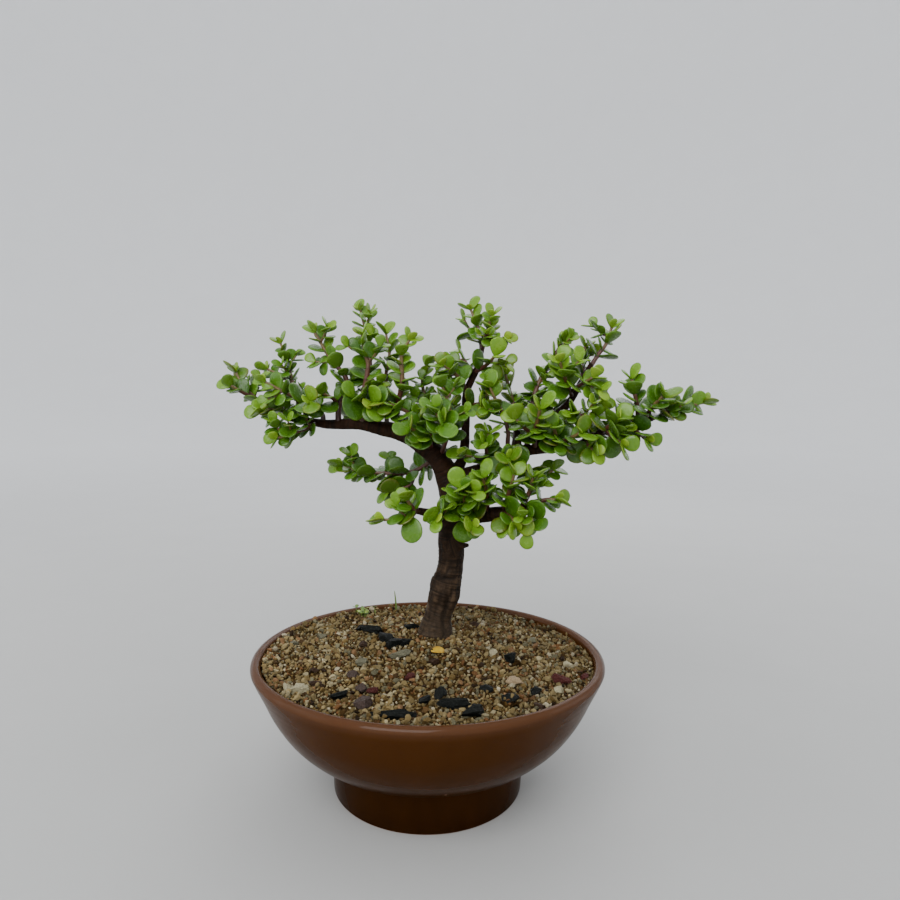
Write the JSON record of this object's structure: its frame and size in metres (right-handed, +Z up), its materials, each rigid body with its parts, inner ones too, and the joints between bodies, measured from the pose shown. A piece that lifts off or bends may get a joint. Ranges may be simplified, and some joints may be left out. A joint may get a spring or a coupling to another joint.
{
  "type": "potted jade bonsai tree",
  "caption": "Small dwarf-jade bonsai with a curved bare trunk and spreading leafy limbs, standing in grit in a wide glazed bowl on a round foot.",
  "frame": {"origin": "on the ground, under the middle of the bounding box of the whole part", "axes": "+Z up; +X along the crown's long way, to the right seen from the front; -Y towards the viewer at the front"},
  "size_m": [0.4174, 0.284, 0.4079],
  "materials": {
    "bowl": "satin glaze",
    "soil": "loose coarse grit",
    "bark": "rough bark with faint rings",
    "leaf": "fleshy glossy leaf on a reddish stem",
    "charcoal": "matt charred wood",
    "fallen_leaf": "yellowed leaf",
    "grass_blade": "thin grass blade"
  },
  "bodies": {
    "root": {"bowl": "bowl", "charcoal_1": "charcoal", "charcoal_2": "charcoal", "charcoal_3": "charcoal", "charcoal_4": "charcoal", "fallen_leaf": "fallen_leaf", "grass_blade": "grass_blade", "soil": "soil", "stem_back_far_right": "leaf", "stem_back_left": "leaf", "stem_back_right": "leaf", "stem_back_trunk": "leaf", "stem_centre_back": "leaf", "stem_centre_left": "leaf", "stem_centre_low": "leaf", "stem_centre_pair": "leaf", "stem_far_left": "leaf", "stem_far_left_low": "leaf", "stem_front_bright": "leaf", "stem_front_high": "leaf", "stem_hanging_left": "leaf", "stem_left_dark": "leaf", "stem_left_fork_high": "leaf", "stem_left_fork_low": "leaf", "stem_left_inner": "leaf", "stem_left_middle": "leaf", "stem_left_near_trunk": "leaf", "stem_left_outer": "leaf", "stem_left_tall": "leaf", "stem_left_tallest": "leaf", "stem_low_end": "leaf", "stem_low_first": "leaf", "stem_low_fourth": "leaf", "stem_low_left": "leaf", "stem_low_second": "leaf", "stem_low_third": "leaf", "stem_middle_front": "leaf", "stem_middle_low": "leaf", "stem_middle_red": "leaf", "stem_on_trunk": "leaf", "stem_over_trunk": "leaf", "stem_right_end": "leaf", "stem_right_end_front": "leaf", "stem_right_end_low": "leaf", "stem_right_front": "leaf", "stem_right_hanging": "leaf", "stem_right_inner": "leaf", "stem_right_mass": "leaf", "stem_right_mid": "leaf", "stem_right_mid_back": "leaf", "stem_right_node": "leaf", "stem_right_red": "leaf", "stem_right_small": "leaf", "stem_right_tall": "leaf", "stem_right_thin": "leaf", "stem_right_top": "leaf", "stem_right_under": "leaf", "stem_right_upright": "leaf", "stem_top": "leaf", "trunk": "bark"}
  },
  "joints": []
}
